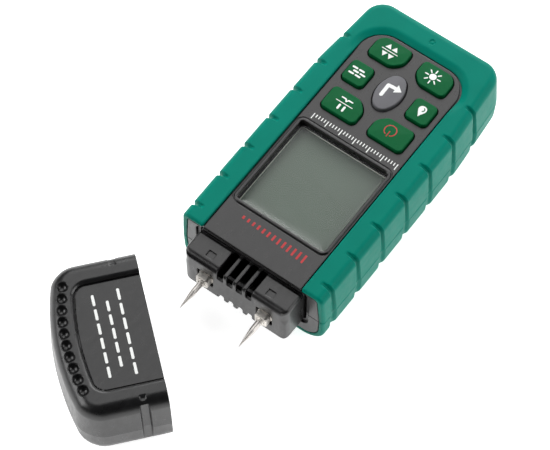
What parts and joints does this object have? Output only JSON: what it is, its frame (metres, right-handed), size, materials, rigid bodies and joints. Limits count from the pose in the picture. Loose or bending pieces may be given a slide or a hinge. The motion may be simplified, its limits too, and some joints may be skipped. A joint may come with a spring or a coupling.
{
  "type": "moisture meter",
  "caption": "Hand-held pin-type moisture meter: dark casing with green grip skin, display, keypad, needle electrodes and a pull-off protective cap.",
  "frame": {"origin": "on the flat back that the meter rests on, under the middle of the display window", "axes": "+X from the nose and pins towards the far end, +Z out of the front panel, +Y to the left seen from the nose"},
  "size_m": [0.1946, 0.0834, 0.0326],
  "materials": {
    "casing_plastic": "fine matte",
    "cap_plastic": "fine matte",
    "skin_green": "soft matte",
    "key_green": "soft matte",
    "key_grey": "soft matte",
    "clear_window": "gloss",
    "display_cell": "gloss",
    "white_plastic": "matte",
    "conductive_rubber": "matte",
    "silicone": "matte",
    "board_green": "satin",
    "chip_black": "matte",
    "bright_steel": "ground and polished",
    "nut_metal": "nickel plated",
    "brass": "turned",
    "spring_steel": "nickel plated",
    "cell_wrap": "gloss"
  },
  "bodies": {
    "meter": {"front_casing": "casing_plastic", "rear_casing": "casing_plastic", "nose_block": "casing_plastic", "front_skin": "skin_green", "rear_skin": "skin_green", "display_lens": "clear_window", "lcd_glass": "display_cell", "lcd_frame": "white_plastic", "backlight_panel": "white_plastic", "lcd_connector": "conductive_rubber", "keypad_mat": "silicone", "main_board": "board_green", "air_sensor": "chip_black", "controller_chip": "chip_black", "display_driver": "chip_black", "buzzer": "chip_black", "pin_left": "bright_steel", "pin_right": "bright_steel", "clock_crystal": "bright_steel", "board_screws": "bright_steel", "casing_screws": "bright_steel", "pin_nuts": "nut_metal", "pin_sockets": "nut_metal", "socket_straps": "brass", "battery_springs": "spring_steel", "battery_plates": "spring_steel", "battery_cell_1": "cell_wrap", "battery_cell_2": "cell_wrap", "battery_cell_3": "cell_wrap"},
    "key_max_min": {"key_max_min": "key_green"},
    "key_light": {"key_light": "key_green"},
    "key_material": {"key_material": "key_green"},
    "key_unit": {"key_unit": "key_green"},
    "key_hold": {"key_hold": "key_green"},
    "key_power": {"key_power": "key_green"},
    "key_select": {"key_select": "key_grey"},
    "door": {"battery_door": "casing_plastic"},
    "cap": {"cap_shell": "cap_plastic"}
  },
  "joints": [
    {"name": "key_max_min_press", "type": "slide", "parent": "meter", "child": "key_max_min", "axis": [0, 0, -1], "range_m": [0, 0.0008], "stiffness_N_per_m": 1200},
    {"name": "key_light_press", "type": "slide", "parent": "meter", "child": "key_light", "axis": [0, 0, -1], "range_m": [0, 0.0008], "stiffness_N_per_m": 1200},
    {"name": "key_material_press", "type": "slide", "parent": "meter", "child": "key_material", "axis": [0, 0, -1], "range_m": [0, 0.0008], "stiffness_N_per_m": 1200},
    {"name": "key_unit_press", "type": "slide", "parent": "meter", "child": "key_unit", "axis": [0, 0, -1], "range_m": [0, 0.0008], "stiffness_N_per_m": 1200},
    {"name": "key_hold_press", "type": "slide", "parent": "meter", "child": "key_hold", "axis": [0, 0, -1], "range_m": [0, 0.0008], "stiffness_N_per_m": 1200},
    {"name": "key_power_press", "type": "slide", "parent": "meter", "child": "key_power", "axis": [0, 0, -1], "range_m": [0, 0.0008], "stiffness_N_per_m": 1200},
    {"name": "key_select_press", "type": "slide", "parent": "meter", "child": "key_select", "axis": [0, 0, -1], "range_m": [0, 0.0008], "stiffness_N_per_m": 1200},
    {"name": "door_tilt", "type": "hinge", "parent": "meter", "child": "door", "pos_m": [0.0105, 0, 0], "axis": [0, 1, 0], "range_deg": [0, 40]},
    {"name": "cap_on", "type": "hinge", "parent": "meter", "child": "cap", "pos_m": [-0.03894, 0.0594, 0.016], "axis": [0, 0, 1], "range_deg": [0, 40.4]}
  ]
}
